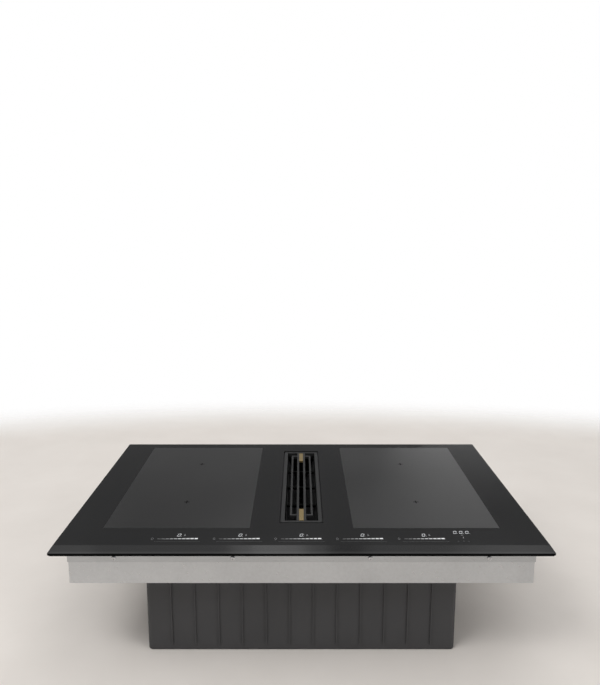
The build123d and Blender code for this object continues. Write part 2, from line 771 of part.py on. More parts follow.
with BuildPart() as gland_nut:
    with BuildSketch(Plane.XZ.offset(-(TRAY_D / 2 - SHEET))):
        with Locations((GLAND_X, GLAND_Z)):
            RegularPolygon(14, 6)
            Circle(10, mode=Mode.SUBTRACT)
    extrude(amount=6)
gland_nut.part.label = "gland_nut"
export_step(gland_nut.part, "parts/gland_nut.step")

# coil leads from the windings to the boards
LEAD_R = 1.8
COIL_EDGE = COIL_X - COIL_W / 2 + 3
with BuildPart() as coil_leads:
    for sx in (-1, 1):
        for k in (0, 6):
            with BuildLine() as back_path:
                FilletPolyline(
                    (sx * COIL_EDGE, 110 + k, 201.0),
                    (sx * (72 - k), 110 + k, 201.0),
                    (sx * (72 - k), 110 + k, 163.5),
                    (sx * 108, 110 + k, 163.5),
                    radius=9,
                )
            with BuildSketch(Plane(origin=back_path.line @ 0, z_dir=back_path.line % 0)):
                Circle(LEAD_R)
            sweep()
            with BuildLine() as front_path:
                FilletPolyline(
                    (sx * COIL_EDGE, -60 + k, 201.0),
                    (sx * (66 + k), -60 + k, 201.0),
                    (sx * (66 + k), -60 + k, 163.5),
                    (sx * (66 + k), -8 - k, 163.5),
                    (sx * 108, -8 - k, 163.5),
                    radius=9,
                )
            with BuildSketch(Plane(origin=front_path.line @ 0, z_dir=front_path.line % 0)):
                Circle(LEAD_R)
            sweep()
coil_leads.part.label = "coil_leads"
export_step(coil_leads.part, "parts/coil_leads.step")

# ---------------------------------------------------------------------------
# Touch control under the front strip of the glass
# ---------------------------------------------------------------------------

SLIDER_X = (-202.5, -101.2, 0.0, 101.2, 202.5)
with BuildPart() as control_carrier:
    with BuildSketch(Plane.XY.offset(196)):
        with Locations((20, -203)):
            RectangleRounded(560, 56, 3)
    extrude(amount=GLASS_BOTTOM - 196)
    with BuildSketch(Plane.XY.offset(197.6)):
        with Locations((20, -203)):
            RectangleRounded(556.8, 52.8, 2)
    extrude(amount=20, mode=Mode.SUBTRACT)
    with BuildSketch(Plane.XY.offset(197.6)):
        with Locations((20, -203)):
            with GridLocations(180, 40, 4, 2):
                Circle(3)
    extrude(amount=1.2)
control_carrier.part.label = "control_carrier"
export_step(control_carrier.part, "parts/control_carrier.step")

with BuildPart() as control_board:
    with BuildSketch(Plane.XY.offset(198.8)):
        with Locations((20, -203)):
            Rectangle(552, 48)
    extrude(amount=1.6)
control_board.part.label = "control_board"
export_step(control_board.part, "parts/control_board.step")

with BuildPart() as slider_light_guides:
    with BuildSketch(Plane.XY.offset(200.4)):
        for x in SLIDER_X:
            with Locations((x, -210)):
                RectangleRounded(74, 8, 1)
    extrude(amount=GLASS_BOTTOM - 200.4)
slider_light_guides.part.label = "slider_light_guides"
export_step(slider_light_guides.part, "parts/slider_light_guides.step")

with BuildPart() as display_modules:
    with BuildSketch(Plane.XY.offset(200.4)):
        for x in SLIDER_X:
            with Locations((x + 1, -196.6)):
                Rectangle(12, 15)
        with Locations((267, -188.9)):
            Rectangle(34, 15)
    extrude(amount=GLASS_BOTTOM - 200.4)
display_modules.part.label = "display_modules"
export_step(display_modules.part, "parts/display_modules.step")

# ---------------------------------------------------------------------------
# Air box and blower
# ---------------------------------------------------------------------------

BOX_D = BOX_Y1 - BOX_Y0
BOX_YC = (BOX_Y0 + BOX_Y1) / 2

# open-topped air box with screw posts and the outlet opening
with BuildPart() as air_box:
    with BuildSketch():
        with Locations((0, BOX_YC)):
            RectangleRounded(2 * BOX_X, BOX_D, 8)
    extrude(amount=BOX_TOP)
    fillet(air_box.faces().sort_by(Axis.Z)[0].edges(), radius=3)
    # rim around the top
    with BuildSketch(Plane.XY.offset(BOX_TOP - 7)):
        with Locations((0, BOX_YC)):
            RectangleRounded(2 * BOX_X + 5, BOX_D + 5, 10)
    extrude(amount=7)
    # upright stiffening ribs on the front and side walls
    with BuildSketch(Plane.XY.offset(12)):
        with Locations((0, BOX_Y0 - 0.5)):
            with GridLocations(40, 0, 12, 1):
                Rectangle(2.4, 4)
        for side in (-1, 1):
            with Locations((side * (BOX_X + 0.5), BOX_YC)):
                with GridLocations(0, 40, 1, 10):
                    Rectangle(4, 2.4)
    extrude(amount=BOX_TOP - 12)
    with BuildSketch(Plane.XY.offset(BOX_T)):
        with Locations((0, BOX_YC)):
            RectangleRounded(2 * BOX_X - 2 * BOX_T, BOX_D - 2 * BOX_T, 6.5)
    extrude(amount=BOX_TOP, mode=Mode.SUBTRACT)
    with BuildSketch(Plane.XY.offset(BOX_T)):
        for x, y in POSTS:
            with Locations((x, y)):
                Circle(6)
                with Locations((math.copysign(5, x), 0)):
                    Rectangle(8, 12)
    extrude(amount=BOX_TOP - BOX_T)
    with BuildSketch(Plane.XY.offset(BOX_TOP - 20)):
        for x, y in POSTS:
            with Locations((x, y)):
                Circle(1.7)
    extrude(amount=40, mode=Mode.SUBTRACT)
    with BuildSketch(Plane.XZ.offset(-300)):
        with Locations((OUT_X, OUT_Z)):
            RectangleRounded(OUT_W + 0.4, OUT_H + 0.4, 4)
    extrude(amount=100, mode=Mode.SUBTRACT)
air_box.part.label = "air_box"
export_step(air_box.part, "parts/air_box.step")

# lid of the air box, under the induction tray
with BuildPart() as air_box_lid:
    with BuildSketch(Plane.XY.offset(BOX_TOP)):
        with Locations((0, BOX_YC)):
            RectangleRounded(2 * BOX_X + 5, BOX_D + 5, 10)
        with Locations((0, VENT_Y)):
            RectangleRounded(SHAFT_WALL_W + 1, SHAFT_WALL_L + 1, 4, mode=Mode.SUBTRACT)
        for x, y in POSTS:
            with Locations((x, y)):
                Circle(2.25, mode=Mode.SUBTRACT)
    extrude(amount=TRAY_Z - BOX_TOP)
air_box_lid.part.label = "air_box_lid"
export_step(air_box_lid.part, "parts/air_box_lid.step")

# screws through tray floor and lid into the posts
with BuildPart() as air_box_screws:
    with BuildSketch(Plane.XY.offset(FLOOR - 18)):
        for x, y in POSTS:
            with Locations((x, y)):
                Circle(1.65)
    extrude(amount=18)
    with BuildSketch(Plane.XY.offset(FLOOR)):
        for x, y in POSTS:
            with Locations((x, y)):
                Circle(3.8)
    extrude(amount=2.4)
air_box_screws.part.label = "air_box_screws"
export_step(air_box_screws.part, "parts/air_box_screws.step")

# rubber seal around the shaft, on the tray floor
with BuildPart() as shaft_seal:
    with BuildSketch(Plane.XY.offset(FLOOR)):
        with Locations((0, VENT_Y)):
            RectangleRounded(SHAFT_WALL_W + 10, SHAFT_WALL_L + 10, 8)
            RectangleRounded(SHAFT_WALL_W, SHAFT_WALL_L, 4, mode=Mode.SUBTRACT)
    extrude(amount=5)
shaft_seal.part.label = "shaft_seal"
export_step(shaft_seal.part, "parts/shaft_seal.step")

# guide strips on the floor of the box that locate the overflow tray
with BuildPart() as tray_guides:
    for side in (-1, 1):
        with BuildSketch(Plane.XZ.offset(-(VENT_Y + 140))):
            with BuildLine():
                Polyline(
                    (side * 30.8, BOX_T),
                    (side * 30.8, 14),
                    (side * 32.4, 15),
                    (side * 32.4, 3.1),
                    (side * 42, 3.1),
                    (side * 42, BOX_T),
                    close=True,
                )
            make_face()
        extrude(amount=280)
tray_guides.part.label = "tray_guides"
export_step(tray_guides.part, "parts/tray_guides.step")


# outline of the scroll: a spiral that opens into a diffuser to the back
def scroll_points(inset):
    points = []
    for k in range(13):
        angle = 55 + k * (360 - 55) / 12
        r = 78 + 26 * k / 12 - inset
        points.append(
            (
                BLOW_X + r * math.cos(math.radians(angle)),
                BLOW_Y + r * math.sin(math.radians(angle)),
            )
        )
    return points


MOUTH_Y = 225.0
OUTER = scroll_points(0)
INNER = scroll_points(SCROLL_T)

# lower shell of the scroll: floor and walls
with BuildPart() as blower_scroll:
    with BuildSketch(Plane.XY.offset(SCROLL_Z0)):
        with BuildLine():
            Spline(*OUTER)
            Polyline(OUTER[-1], (OUT_X + 111, MOUTH_Y), (OUT_X - 111, MOUTH_Y), OUTER[0])
        make_face()
    extrude(amount=SCROLL_Z1 - 2 - SCROLL_Z0)
    with BuildSketch(Plane.XY.offset(SCROLL_Z0 + 2)):
        with BuildLine():
            Spline(*INNER)
            Polyline(
                INNER[-1],
                (OUT_X + 109, MOUTH_Y + 1),
                (OUT_X - 108, MOUTH_Y + 1),
                (OUTER[0][0] + 1.6, OUTER[0][1] + 1.9),
                (OUTER[0][0] + 2.4, OUTER[0][1] - 1.0),
                INNER[0],
            )
        make_face()
    extrude(amount=100, mode=Mode.SUBTRACT)
blower_scroll.part.label = "blower_scroll"
export_step(blower_scroll.part, "parts/blower_scroll.step")

# cover of the scroll with the bell-mouthed inlet
with BuildPart() as blower_cover:
    with BuildSketch(Plane.XY.offset(SCROLL_Z1 - 2)):
        with BuildLine():
            Spline(*OUTER)
            Polyline(OUTER[-1], (OUT_X + 111, MOUTH_Y), (OUT_X - 111, MOUTH_Y), OUTER[0])
        make_face()
        with Locations((BLOW_X, BLOW_Y)):
            Circle(56, mode=Mode.SUBTRACT)
    extrude(amount=2)
    with BuildSketch(Plane.XY.offset(SCROLL_Z1)):
        with Locations((BLOW_X, BLOW_Y)):
            Circle(62)
            Circle(56, mode=Mode.SUBTRACT)
    extrude(amount=7)
    fillet(
        blower_cover.faces().sort_by(Axis.Z)[-1].edges(),
        radius=2.9,
    )
blower_cover.part.label = "blower_cover"
export_step(blower_cover.part, "parts/blower_cover.step")

# rubber feet under the scroll
with BuildPart() as blower_mounts:
    with BuildSketch(Plane.XY.offset(BOX_T)):
        with Locations(
            (BLOW_X - 62, BLOW_Y), (BLOW_X + 60, BLOW_Y - 62), (70, 195), (215, 195)
        ):
            Circle(9)
    extrude(amount=SCROLL_Z0 - BOX_T)
blower_mounts.part.label = "blower_mounts"
export_step(blower_mounts.part, "parts/blower_mounts.step")

# motor with its bearing bore, standing on the scroll's floor
with BuildPart() as blower_motor:
    with BuildSketch(Plane.XY.offset(SCROLL_Z0 + 2)):
        with Locations((BLOW_X, BLOW_Y)):
            Circle(37)
    extrude(amount=44)
    fillet(blower_motor.faces().sort_by(Axis.Z)[-1].edges(), radius=4)
    with BuildSketch(Plane.XY.offset(SCROLL_Z0 + 46)):
        with Locations((BLOW_X, BLOW_Y)):
            Circle(10)
    extrude(amount=2)
    with BuildSketch(Plane.XY.offset(SCROLL_Z0 + 6)):
        with Locations((BLOW_X, BLOW_Y)):
            Circle(4.05)
    extrude(amount=60, mode=Mode.SUBTRACT)
blower_motor.part.label = "blower_motor"
export_step(blower_motor.part, "parts/blower_motor.step")

with BuildPart() as motor_shaft:
    with BuildSketch(Plane.XY.offset(SCROLL_Z0 + 6.5)):
        with Locations((BLOW_X, BLOW_Y)):
            Circle(4.0)
    extrude(amount=58)
    chamfer(motor_shaft.faces().sort_by(Axis.Z)[-1].edges(), length=0.6)
motor_shaft.part.label = "motor_shaft"
export_step(motor_shaft.part, "parts/motor_shaft.step")

# impeller: hub cup over the motor, back plate, forward-curved blades, top ring
with BuildPart() as impeller:
    with BuildSketch(Plane.XY.offset(16)):
        with Locations((BLOW_X, BLOW_Y)):
            Circle(IMP_R)
            Circle(40, mode=Mode.SUBTRACT)
    extrude(amount=2)
    with BuildSketch(Plane.XY.offset(16)):
        with Locations((BLOW_X, BLOW_Y)):
            Circle(42)
            Circle(40, mode=Mode.SUBTRACT)
    extrude(amount=46)
    with BuildSketch(Plane.XY.offset(60)):
        with Locations((BLOW_X, BLOW_Y)):
            Circle(42)
    extrude(amount=2)
    with BuildSketch(Plane.XY.offset(62)):
        with Locations((BLOW_X, BLOW_Y)):
            Circle(9)
    extrude(amount=3)
    with BuildSketch(Plane.XY.offset(50)):
        with Locations((BLOW_X, BLOW_Y)):
            Circle(4.0)
    extrude(amount=20, mode=Mode.SUBTRACT)
    with BuildSketch(Plane.XY.offset(18)):
        with Locations((BLOW_X, BLOW_Y)):
            with PolarLocations(61.5, 36):
                Rectangle(12.4, 1.2, rotation=-38)
    extrude(amount=75)
    with BuildSketch(Plane.XY.offset(93)):
        with Locations((BLOW_X, BLOW_Y)):
            Circle(IMP_R)
            Circle(57.5, mode=Mode.SUBTRACT)
    extrude(amount=2)
impeller.part.label = "impeller"
export_step(impeller.part, "parts/impeller.step")

with BuildPart() as impeller_nut:
    with BuildSketch(Plane.XY.offset(65)):
        with Locations((BLOW_X, BLOW_Y)):
            RegularPolygon(7.5, 6)
            Circle(4.0, mode=Mode.SUBTRACT)
    extrude(amount=6)
impeller_nut.part.label = "impeller_nut"
export_step(impeller_nut.part, "parts/impeller_nut.step")

# ---------------------------------------------------------------------------
# Outlet spigot and its non-return flap
# ---------------------------------------------------------------------------

FLAP_Y = 248.0
FLAP_Z = 94.5
with BuildPart() as outlet_spigot:
    with BuildSketch(Plane.XZ.offset(-(MOUTH_Y + 0.5))):
        with Locations((OUT_X, OUT_Z)):
            RectangleRounded(OUT_W, OUT_H, 4)
    extrude(amount=-(257.5 - MOUTH_Y - 0.5))
    with BuildSketch(Plane.XZ.offset(-BOX_Y1)):
        with Locations((OUT_X, OUT_Z)):
            RectangleRounded(OUT_W + 18, OUT_H + 18, 6)
    extrude(amount=-2)
    with BuildSketch(Plane.XZ.offset(-300)):
        with Locations((OUT_X, OUT_Z)):
            RectangleRounded(OUT_W - 3, OUT_H - 3, 2.5)
    extrude(amount=100, mode=Mode.SUBTRACT)
    # pin holes in the side walls
    with BuildSketch(Plane.YZ.offset(-50)):
        with Locations((FLAP_Y, FLAP_Z)):
            Circle(1.55)
    extrude(amount=400, mode=Mode.SUBTRACT)
    # screw holes in the flange
    with BuildSketch(Plane.XZ.offset(-230)):
        with Locations((OUT_X, OUT_Z)):
            with GridLocations(OUT_W + 9, OUT_H - 20, 2, 2):
                Circle(1.7)
    extrude(amount=-20, mode=Mode.SUBTRACT)
outlet_spigot.part.label = "outlet_spigot"
export_step(outlet_spigot.part, "parts/outlet_spigot.step")

with BuildPart() as spigot_screws:
    for x in (OUT_X - (OUT_W + 9) / 2, OUT_X + (OUT_W + 9) / 2):
        for z in (OUT_Z - (OUT_H - 20) / 2, OUT_Z + (OUT_H - 20) / 2):
            back = Plane(origin=(x, BOX_Y1 + 2, z), z_dir=(0, 1, 0))
            with BuildSketch(back):
                Circle(3.2)
            extrude(amount=1.8)
            with BuildSketch(back):
                Circle(1.65)
            extrude(amount=-2)
spigot_screws.part.label = "spigot_screws"
export_step(spigot_screws.part, "parts/spigot_screws.step")

# flap plate with its hinge barrel
with BuildPart() as non_return_flap:
    with BuildSketch(Plane.YZ.offset(OUT_X - 108.5)):
        with Locations((FLAP_Y, FLAP_Z)):
            Circle(3)
        with Locations((FLAP_Y, (FLAP_Z + 14.5) / 2)):
            Rectangle(1.5, FLAP_Z - 14.5)
        with Locations((FLAP_Y, FLAP_Z)):
            Circle(1.5, mode=Mode.SUBTRACT)
    extrude(amount=217)
non_return_flap.part.label = "non_return_flap"
export_step(non_return_flap.part, "parts/non_return_flap.step")

with BuildPart() as flap_pin:
    with BuildSketch(Plane.YZ.offset(OUT_X - 111)):
        with Locations((FLAP_Y, FLAP_Z)):
            Circle(1.5)
    extrude(amount=222)
flap_pin.part.label = "flap_pin"
export_step(flap_pin.part, "parts/flap_pin.step")
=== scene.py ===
import bpy
import bmesh
import json
import math
from mathutils import Matrix, Vector


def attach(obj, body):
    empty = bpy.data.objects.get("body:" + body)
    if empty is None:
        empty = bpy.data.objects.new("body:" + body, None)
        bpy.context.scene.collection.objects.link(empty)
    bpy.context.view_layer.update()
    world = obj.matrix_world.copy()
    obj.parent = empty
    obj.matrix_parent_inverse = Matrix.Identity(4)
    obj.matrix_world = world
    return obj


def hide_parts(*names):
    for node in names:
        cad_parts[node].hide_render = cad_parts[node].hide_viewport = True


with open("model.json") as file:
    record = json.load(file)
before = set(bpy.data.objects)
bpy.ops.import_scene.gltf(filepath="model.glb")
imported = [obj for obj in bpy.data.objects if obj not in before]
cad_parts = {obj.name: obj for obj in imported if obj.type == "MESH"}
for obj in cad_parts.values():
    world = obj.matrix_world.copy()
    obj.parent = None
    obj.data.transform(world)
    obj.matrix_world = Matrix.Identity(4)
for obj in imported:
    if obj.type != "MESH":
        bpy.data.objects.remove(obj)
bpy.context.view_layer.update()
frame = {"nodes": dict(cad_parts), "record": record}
N = frame["nodes"]

MM = 0.001
GLASS = 0.210  # height of the glass surface
scene = bpy.context.scene
coll = scene.collection


# ---------------------------------------------------------------------------
# materials
# ---------------------------------------------------------------------------
def new_mat(name):
    m = bpy.data.materials.new(name)
    m.use_nodes = True
    nt = m.node_tree
    b = next(n for n in nt.nodes if n.type == "BSDF_PRINCIPLED")
    return m, nt, b


def coords(nt, scale=(1, 1, 1), rot=(0, 0, 0)):
    t = nt.nodes.new("ShaderNodeTexCoord")
    mp = nt.nodes.new("ShaderNodeMapping")
    mp.inputs["Scale"].default_value = scale
    mp.inputs["Rotation"].default_value = rot
    nt.links.new(t.outputs["Object"], mp.inputs["Vector"])
    return mp.outputs["Vector"]


def noise(nt, vec, scale, detail=4.0, rough=0.55):
    n = nt.nodes.new("ShaderNodeTexNoise")
    n.inputs["Scale"].default_value = scale
    n.inputs["Detail"].default_value = detail
    n.inputs["Roughness"].default_value = rough
    nt.links.new(vec, n.inputs["Vector"])
    return n.outputs["Fac"]


def ramp(nt, fac, stops):
    r = nt.nodes.new("ShaderNodeValToRGB")
    el = r.color_ramp.elements
    while len(el) < len(stops):
        el.new(0.5)
    for e, (p, c) in zip(el, stops):
        e.position = p
        e.color = (*c, 1.0)
    nt.links.new(fac, r.inputs["Fac"])
    return r.outputs["Color"]


def span(nt, fac, lo, hi, a=0.3, b=0.7):
    m = nt.nodes.new("ShaderNodeMapRange")
    m.inputs["From Min"].default_value = a
    m.inputs["From Max"].default_value = b
    m.inputs["To Min"].default_value = lo
    m.inputs["To Max"].default_value = hi
    nt.links.new(fac, m.inputs["Value"])
    return m.outputs["Result"]


def bump(nt, b, fac, dist, strength=0.5):
    u = nt.nodes.new("ShaderNodeBump")
    u.inputs["Distance"].default_value = dist
    u.inputs["Strength"].default_value = strength
    nt.links.new(fac, u.inputs["Height"])
    nt.links.new(u.outputs["Normal"], b.inputs["Normal"])


def grey(v):
    return (v, v, v)


def scaled(c, k):
    return tuple(min(1.0, x * k) for x in c)


def solid_mat(name, base, rough, metal=0.0, spec=0.5, grain=900.0, vary=0.12,
              rvary=0.08, bump_mm=0.0, stretch=(1, 1, 1), coat=0.0, coat_rough=0.1):
    """A surface with fine colour and gloss variation and an optional grain."""
    m, nt, b = new_mat(name)
    vec = coords(nt, stretch)
    fine = noise(nt, vec, grain)
    wide = noise(nt, coords(nt), 9.0, 3.0)
    mix = nt.nodes.new("ShaderNodeMath")
    mix.operation = "ADD"
    nt.links.new(fine, mix.inputs[0])
    nt.links.new(wide, mix.inputs[1])
    half = nt.nodes.new("ShaderNodeMath")
    half.operation = "MULTIPLY"
    half.inputs[1].default_value = 0.5
    nt.links.new(mix.outputs[0], half.inputs[0])
    col = ramp(nt, half.outputs[0], [(0.32, scaled(base, 1 - vary)), (0.68, scaled(base, 1 + vary))])
    nt.links.new(col, b.inputs["Base Color"])
    nt.links.new(span(nt, fine, max(0.02, rough - rvary), min(1.0, rough + rvary)), b.inputs["Roughness"])
    b.inputs["Metallic"].default_value = metal
    b.inputs["Specular IOR Level"].default_value = spec
    if coat:
        b.inputs["Coat Weight"].default_value = coat
        b.inputs["Coat Roughness"].default_value = coat_rough
    if bump_mm:
        bump(nt, b, fine, bump_mm * MM, 0.6)
    return m


def glow_mat(name, base, colour, strength):
    m, nt, b = new_mat(name)
    vec = coords(nt)
    f = noise(nt, vec, 700.0)
    col = ramp(nt, f, [(0.3, scaled(base, 0.94)), (0.7, scaled(base, 1.06))])
    nt.links.new(col, b.inputs["Base Color"])
    b.inputs["Roughness"].default_value = 0.45
    b.inputs["Emission Color"].default_value = (*colour, 1.0)
    b.inputs["Emission Strength"].default_value = strength
    return m


def glass_mat(name, base, rough, spec, ripple=0.02, edge=(0.0008, 0.0008, 0.0009), painted_arris_highlight=None):
    """Black glass; its upright edges are painted near black as painted shade of the gap under the plate, and a lighter
    grey at the vent cut-out.
    """
    m, nt, b = new_mat(name)
    vec = coords(nt)
    fine = noise(nt, vec, 1400.0, 2.0)
    wide = noise(nt, coords(nt, (1, 1, 0.2)), 5.0, 3.0)
    col = ramp(nt, fine, [(0.35, scaled(base, 0.93)), (0.65, scaled(base, 1.07))])
    if painted_arris_highlight:
        # painted highlight: a lighter line along the lower end of the facet, where its lower arris would catch the
        # light
        pos = nt.nodes.new("ShaderNodeSeparateXYZ")
        nt.links.new(vec, pos.inputs[0])
        up_ = span(nt, pos.outputs["Y"], 0.0, 1.0, (painted_arris_highlight[0] - 0.6) * MM, painted_arris_highlight[0] * MM)
        down_ = span(nt, pos.outputs["Y"], 1.0, 0.0, (painted_arris_highlight[1] - 0.6) * MM, painted_arris_highlight[1] * MM)
        both = nt.nodes.new("ShaderNodeMath")
        both.operation = "MULTIPLY"
        nt.links.new(up_, both.inputs[0])
        nt.links.new(down_, both.inputs[1])
        line = both.outputs[0]
        mixa = nt.nodes.new("ShaderNodeMix")
        mixa.data_type = "RGBA"
        nt.links.new(line, mixa.inputs["Factor"])
        nt.links.new(col, mixa.inputs["A"])
        mixa.inputs["B"].default_value = (*grey(painted_arris_highlight[2]), 1.0)
        col = mixa.outputs["Result"]
    # painted shade: upright faces are painted near black for the dark gap under the plate
    if edge:
        geo = nt.nodes.new("ShaderNodeNewGeometry")
        up = nt.nodes.new("ShaderNodeSeparateXYZ")
        nt.links.new(geo.outputs["True Normal"], up.inputs[0])
        flat = span(nt, up.outputs["Z"], 0.0, 1.0, 0.75, 0.97)
        mix = nt.nodes.new("ShaderNodeMix")
        mix.data_type = "RGBA"
        nt.links.new(flat, mix.inputs["Factor"])
        # upright faces within 60 mm of the vent axis get a 0.03 grey; the outer upright edges get the near-black
        # painted shade colour
        place = nt.nodes.new("ShaderNodeVectorMath")
        place.operation = "LENGTH"
        nt.links.new(coords(nt, (1, 0.16, 0)), place.inputs[0])
        cut = span(nt, place.outputs["Value"], 0.0, 1.0, 60 * MM, 61 * MM)
        rim = nt.nodes.new("ShaderNodeMix")
        rim.data_type = "RGBA"
        nt.links.new(cut, rim.inputs["Factor"])
        rim.inputs["A"].default_value = (*grey(0.03), 1.0)
        rim.inputs["B"].default_value = (*edge, 1.0)
        nt.links.new(rim.outputs["Result"], mix.inputs["A"])
        nt.links.new(col, mix.inputs["B"])
        col = mix.outputs["Result"]
    nt.links.new(col, b.inputs["Base Color"])
    nt.links.new(span(nt, wide, rough - 0.02, rough + 0.03), b.inputs["Roughness"])
    b.inputs["Specular IOR Level"].default_value = spec
    bump(nt, b, fine, 0.004 * MM, ripple)
    return m


def cassette_mat(name, inside_shade, outer, rough, spec):
    """Filter cassette painted near black inside, on its ribs and top, as painted shade deep in the vent; its outer
    walls below 195 mm keep a dark grey.
    """
    m, nt, b = new_mat(name)
    vec = coords(nt)
    fine = noise(nt, vec, 900.0)
    inside_shade_col = ramp(nt, fine, [(0.32, scaled(inside_shade, 0.9)), (0.68, scaled(inside_shade, 1.1))])
    wall = ramp(nt, fine, [(0.32, scaled(outer, 0.88)), (0.68, scaled(outer, 1.12))])
    pos = nt.nodes.new("ShaderNodeSeparateXYZ")
    nt.links.new(vec, pos.inputs[0])

    def math_(op, a, v):
        k = nt.nodes.new("ShaderNodeMath")
        k.operation = op
        nt.links.new(a, k.inputs[0])
        if isinstance(v, float):
            k.inputs[1].default_value = v
        elif v is not None:
            nt.links.new(v, k.inputs[1])
        return k.outputs[0]

    # mask of the outer walls; everything else gets the near-black painted shade colour
    side = math_("GREATER_THAN", math_("ABSOLUTE", pos.outputs["X"], None), 30.9 * MM)
    end = math_("GREATER_THAN", math_("ABSOLUTE", math_("SUBTRACT", pos.outputs["Y"], 30.45 * MM), None), 169.0 * MM)
    low = math_("LESS_THAN", pos.outputs["Z"], 195.0 * MM)
    mask = math_("MULTIPLY", math_("MAXIMUM", side, end), low)
    mix = nt.nodes.new("ShaderNodeMix")
    mix.data_type = "RGBA"
    nt.links.new(mask, mix.inputs["Factor"])
    nt.links.new(inside_shade_col, mix.inputs["A"])
    nt.links.new(wall, mix.inputs["B"])
    nt.links.new(mix.outputs["Result"], b.inputs["Base Color"])
    nt.links.new(span(nt, fine, rough - 0.06, rough + 0.06), b.inputs["Roughness"])
    b.inputs["Specular IOR Level"].default_value = spec
    return m


MAT = {}
# the glass carries a painted highlight line along the lower end of the front facet
MAT["glass"] = glass_mat("black_glass", (0.0200, 0.0200, 0.0204), 0.125, 0.22, painted_arris_highlight=(-257.0, -253.4, 0.037))
MAT["zone"] = glass_mat("zone_print", (0.0092, 0.0092, 0.0094), 0.30, 0.75, 0.05, edge=None)
# near-black matt material for the skin on the plate's upright edges: painted shade
MAT["ground"] = solid_mat("ground_edge", (0.0015, 0.0015, 0.0015), 0.9, spec=0.03, rvary=0.05)
MAT["mark"] = solid_mat("zone_mark", (0.004, 0.004, 0.004), 0.5, spec=0.08)
MAT["foam"] = solid_mat("seal_foam", (0.008, 0.008, 0.008), 0.95, spec=0.05, bump_mm=0.15)
MAT["steel"] = solid_mat("zinc_steel", (0.55, 0.56, 0.57), 0.36, metal=1.0, grain=160, vary=0.10, rvary=0.10)
MAT["carrier_steel"] = solid_mat("carrier_steel", (0.46, 0.47, 0.48), 0.32, metal=1.0, stretch=(0.05, 1, 1), grain=900)
MAT["collar"] = solid_mat("collar_black", (0.028, 0.028, 0.0285), 0.6, spec=0.3, bump_mm=0.02)
MAT["rubber"] = solid_mat("gasket_rubber", (0.018, 0.018, 0.018), 0.75, spec=0.3)
MAT["grille"] = solid_mat("grille_black", (0.019, 0.019, 0.0195), 0.45, spec=0.3, grain=2600, bump_mm=0.012)
MAT["brass"] = solid_mat("grip_brass", (0.360, 0.266, 0.119), 0.36, metal=0.7, stretch=(1, 0.03, 1), grain=2600, vary=0.16, rvary=0.10, bump_mm=0.01)
# filter cassette: near-black painted shade inside, dark grey outer walls
MAT["filter"] = cassette_mat("filter_black", grey(0.0012), (0.030, 0.030, 0.031), 0.7, 0.06)
MAT["mesh"] = solid_mat("filter_mesh", (0.030, 0.030, 0.031), 0.5, spec=0.4, grain=1800)
MAT["tray"] = solid_mat("tray_grey", (0.045, 0.045, 0.047), 0.5, bump_mm=0.02)
MAT["mica"] = solid_mat("mica", (0.60, 0.54, 0.42), 0.55, grain=300, vary=0.2)
MAT["copper"] = solid_mat("copper", (0.62, 0.27, 0.14), 0.38, metal=1.0, grain=2200, vary=0.25, bump_mm=0.05)
MAT["ferrite"] = solid_mat("ferrite", (0.05, 0.05, 0.052), 0.65, grain=1500)
MAT["alu"] = solid_mat("aluminium_plate", (0.70, 0.71, 0.72), 0.3, metal=1.0, stretch=(0.04, 1, 1))
MAT["board"] = solid_mat("board_green", (0.012, 0.085, 0.04), 0.35, spec=0.5, grain=400)
MAT["white"] = solid_mat("sensor_white", (0.75, 0.75, 0.72), 0.6)
MAT["ivory"] = solid_mat("carrier_plastic", (0.52, 0.51, 0.47), 0.55, bump_mm=0.02)
MAT["plastic"] = solid_mat("black_plastic", (0.022, 0.022, 0.023), 0.48, bump_mm=0.02)
MAT["cap"] = solid_mat("capacitor_blue", (0.02, 0.035, 0.09), 0.25)
MAT["box"] = solid_mat("box_plastic", (0.050, 0.050, 0.053), 0.52, grain=1500, bump_mm=0.04)
MAT["blower"] = solid_mat("blower_plastic", (0.07, 0.07, 0.074), 0.5, grain=1500, bump_mm=0.03)
MAT["screw"] = solid_mat("screw_steel", (0.62, 0.62, 0.63), 0.28, metal=1.0, grain=500)
MAT["motor"] = solid_mat("motor_metal", (0.20, 0.21, 0.22), 0.4, metal=0.6)
MAT["wire"] = solid_mat("wire_red", (0.30, 0.03, 0.02), 0.5)
MAT["guide"] = solid_mat("light_guide", (0.75, 0.77, 0.80), 0.35)
MAT["spring"] = solid_mat("spring_steel", (0.5, 0.5, 0.52), 0.3, metal=1.0, stretch=(0.05, 1, 1))
MAT["lit"] = glow_mat("display_white", (0.55, 0.56, 0.57), (0.93, 0.96, 1.0), 0.20)
MAT["dim"] = glow_mat("print_grey", (0.24, 0.24, 0.245), (0.9, 0.93, 1.0), 0.03)
MAT["faint"] = glow_mat("print_dark", (0.055, 0.055, 0.057), (0.9, 0.93, 1.0), 0.002)
MAT["hole"] = solid_mat("recess_black", (0.008, 0.008, 0.008), 0.7)

